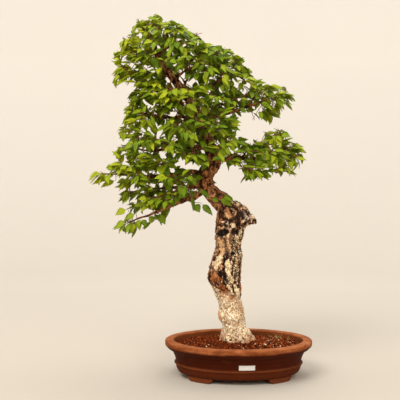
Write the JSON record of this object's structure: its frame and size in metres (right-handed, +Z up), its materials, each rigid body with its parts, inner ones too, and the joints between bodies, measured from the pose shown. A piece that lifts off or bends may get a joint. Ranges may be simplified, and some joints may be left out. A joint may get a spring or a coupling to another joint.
{
  "type": "korean hornbeam bonsai",
  "caption": "Old hornbeam bonsai with a leaning hollowed trunk, stepped branches and toothed leaves, standing in soil in an oval unglazed pot on bracket feet.",
  "frame": {"origin": "middle of the whole object's box on the surface that the pot's feet stand on", "axes": "+Z up; X along the pot's long side, with the trunk's upper part leaning to -X; the tree's front faces -Y"},
  "size_m": [0.5177, 0.2694, 0.8404],
  "materials": {
    "clay": "unglazed red-brown stoneware, matte, paler on the rim",
    "soil": "loose red-brown granules with pale grit",
    "plastic_mesh": "plain moulded plastic net",
    "paper": "blank white sticker",
    "bark": "rough grey-brown bark with pale deadwood",
    "leaf": "soft satin leaf, yellow-green at the tips of the crown"
  },
  "bodies": {
    "root": {"pot": "clay", "soil": "soil", "screen_left": "plastic_mesh", "screen_right": "plastic_mesh", "label": "paper", "tree": "bark", "shoot_00": "leaf", "shoot_01": "leaf", "shoot_02": "leaf", "shoot_03": "leaf", "shoot_04": "leaf", "shoot_05": "leaf", "shoot_06": "leaf", "shoot_07": "leaf", "shoot_08": "leaf", "shoot_09": "leaf", "shoot_10": "leaf", "shoot_11": "leaf", "shoot_12": "leaf", "shoot_13": "leaf", "shoot_14": "leaf", "shoot_15": "leaf", "shoot_16": "leaf", "shoot_17": "leaf", "shoot_18": "leaf", "shoot_19": "leaf", "shoot_20": "leaf", "shoot_21": "leaf", "shoot_22": "leaf", "shoot_23": "leaf", "shoot_24": "leaf", "shoot_25": "leaf", "shoot_26": "leaf", "shoot_27": "leaf", "shoot_28": "leaf", "shoot_29": "leaf", "shoot_30": "leaf", "shoot_31": "leaf", "shoot_32": "leaf", "shoot_33": "leaf", "shoot_34": "leaf", "shoot_35": "leaf", "shoot_36": "leaf", "shoot_37": "leaf", "shoot_38": "leaf", "shoot_39": "leaf", "shoot_40": "leaf", "shoot_41": "leaf", "shoot_42": "leaf", "shoot_43": "leaf", "shoot_44": "leaf", "shoot_45": "leaf", "shoot_46": "leaf", "shoot_47": "leaf", "shoot_48": "leaf", "shoot_49": "leaf", "shoot_50": "leaf", "shoot_51": "leaf"}
  },
  "joints": []
}
